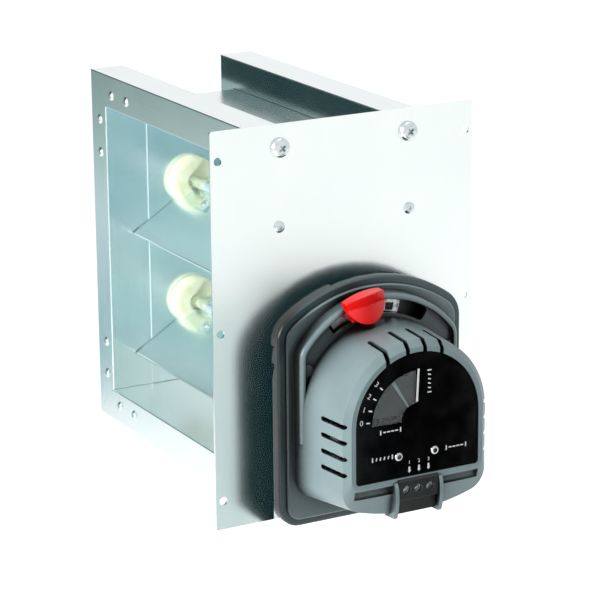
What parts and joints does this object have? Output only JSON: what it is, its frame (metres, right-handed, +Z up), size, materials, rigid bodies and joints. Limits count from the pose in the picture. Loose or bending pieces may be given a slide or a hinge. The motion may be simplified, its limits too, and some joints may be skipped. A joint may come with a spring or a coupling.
{
  "type": "volume control damper",
  "caption": "Rectangular motorised air damper: parallel blades in a slip-in aluminium frame, hung from a flat plate that carries a geared actuator with a release lever.",
  "frame": {"origin": "centre of the mounting plate's back face, the face that lies against the duct", "axes": "+X along the airflow, +Y into the duct, square to the plate, +Z up"},
  "size_m": [0.1906, 0.3106, 0.2662],
  "materials": {
    "frame_aluminium": "mill finish, lightly brushed",
    "plate_aluminium": "vertical brushed",
    "blade_aluminium": "satin rolled",
    "zinc_steel": "zinc plated",
    "bright_steel": "bright drawn",
    "rod_aluminium": "bright drawn",
    "nylon": "natural nylon, slightly translucent",
    "base_plastic": "moulded, satin",
    "cover_plastic": "moulded, satin",
    "panel_black": "polished",
    "clear_window": "clear",
    "red_plastic": "polished",
    "gear_brass": "machined",
    "gear_plastic": "acetal",
    "terminal_black": "moulded",
    "board_green": "solder mask",
    "light_pipe": "polished clear lens",
    "spring_steel": "oiled"
  },
  "bodies": {
    "frame": {"frame_top": "frame_aluminium", "frame_bottom": "frame_aluminium", "frame_far_side": "frame_aluminium", "frame_near_side": "frame_aluminium", "jamb_strips": "frame_aluminium", "mounting_plate": "plate_aluminium", "corner_keys": "zinc_steel", "plate_screws": "zinc_steel", "rivet_nuts": "zinc_steel", "base_screws": "zinc_steel", "cover_screws": "zinc_steel", "gear_plate_screws": "zinc_steel", "gear_plate": "zinc_steel", "corner_rivets": "bright_steel", "plate_rivets": "bright_steel", "flush_rivets": "bright_steel", "shaft_bushes": "nylon", "actuator_base": "base_plastic", "actuator_cover": "cover_plastic", "front_panel": "panel_black", "window_lens": "clear_window", "wheel_axle": "bright_steel", "drive_motor": "zinc_steel", "lever_spring": "spring_steel", "circuit_board": "board_green", "signal_lights": "light_pipe", "terminal_block": "terminal_black", "terminal_screws": "zinc_steel"},
    "lower_blade": {"blade_lower": "blade_aluminium", "blade_rod_lower": "rod_aluminium", "blade_hubs_lower": "nylon", "rod_clip_lower": "spring_steel", "rod_saddles_lower": "blade_aluminium", "saddle_rivets_lower": "bright_steel", "crank_lower": "zinc_steel", "crank_pin_lower": "bright_steel", "set_screw_lower": "spring_steel"},
    "upper_blade": {"blade_upper": "blade_aluminium", "blade_rod_upper": "rod_aluminium", "blade_hubs_upper": "nylon", "rod_clip_upper": "spring_steel", "rod_saddles_upper": "blade_aluminium", "saddle_rivets_upper": "bright_steel", "crank_upper": "zinc_steel", "crank_pin_upper": "bright_steel", "set_screw_upper": "spring_steel"},
    "link": {"link_plate": "zinc_steel"},
    "output": {"output_shaft": "bright_steel", "output_gear": "gear_brass", "position_pointer": "cover_plastic", "crank_output": "zinc_steel", "crank_pin_output": "bright_steel", "set_screw_output": "spring_steel"},
    "wheel": {"reduction_wheel": "gear_plastic"},
    "pinion": {"motor_pinion": "gear_brass"},
    "lever": {"release_lever": "bright_steel", "lever_cap": "red_plastic"}
  },
  "joints": [
    {"name": "lower_blade_turn", "type": "hinge", "parent": "frame", "child": "lower_blade", "pos_m": [0, 0.12, -0.044], "axis": [0, 1, 0], "range_deg": [-54.5, 32.5]},
    {"name": "upper_blade_turn", "type": "hinge", "parent": "frame", "child": "upper_blade", "pos_m": [0, 0.12, 0.044], "axis": [0, 1, 0], "range_deg": [-54.5, 32.5]},
    {"name": "output_turn", "type": "hinge", "parent": "frame", "child": "output", "pos_m": [0.016, -0.02, -0.056], "axis": [0, 1, 0], "range_deg": [-54.5, 32.5]},
    {"name": "link_swing", "type": "hinge", "parent": "lower_blade", "child": "link", "pos_m": [-0.00937, 0.0055, -0.0336], "axis": [0, 1, 0], "range_deg": [-32.5, 54.5]},
    {"name": "wheel_turn", "type": "hinge", "parent": "frame", "child": "wheel", "pos_m": [0.03451, -0.02, -0.07806], "axis": [0, 1, 0], "range_deg": [-163, 273]},
    {"name": "pinion_turn", "type": "hinge", "parent": "frame", "child": "pinion", "pos_m": [0.01442, -0.022, -0.08345], "axis": [0, 1, 0], "range_deg": [-908.83, 542.17]},
    {"name": "lever_release", "type": "hinge", "parent": "frame", "child": "lever", "pos_m": [0.016, -0.01, -0.056], "axis": [0, 1, 0], "range_deg": [0, 24], "stiffness_Nm_per_rad": 0.06, "springref_deg": -28.65}
  ],
  "couplings": [
    {"joint": "upper_blade_turn", "follows": "lower_blade_turn", "ratio": 1},
    {"joint": "output_turn", "follows": "lower_blade_turn", "ratio": 1},
    {"joint": "link_swing", "follows": "lower_blade_turn", "ratio": -1},
    {"joint": "wheel_turn", "follows": "lower_blade_turn", "ratio": -5},
    {"joint": "pinion_turn", "follows": "lower_blade_turn", "ratio": 16.667}
  ]
}
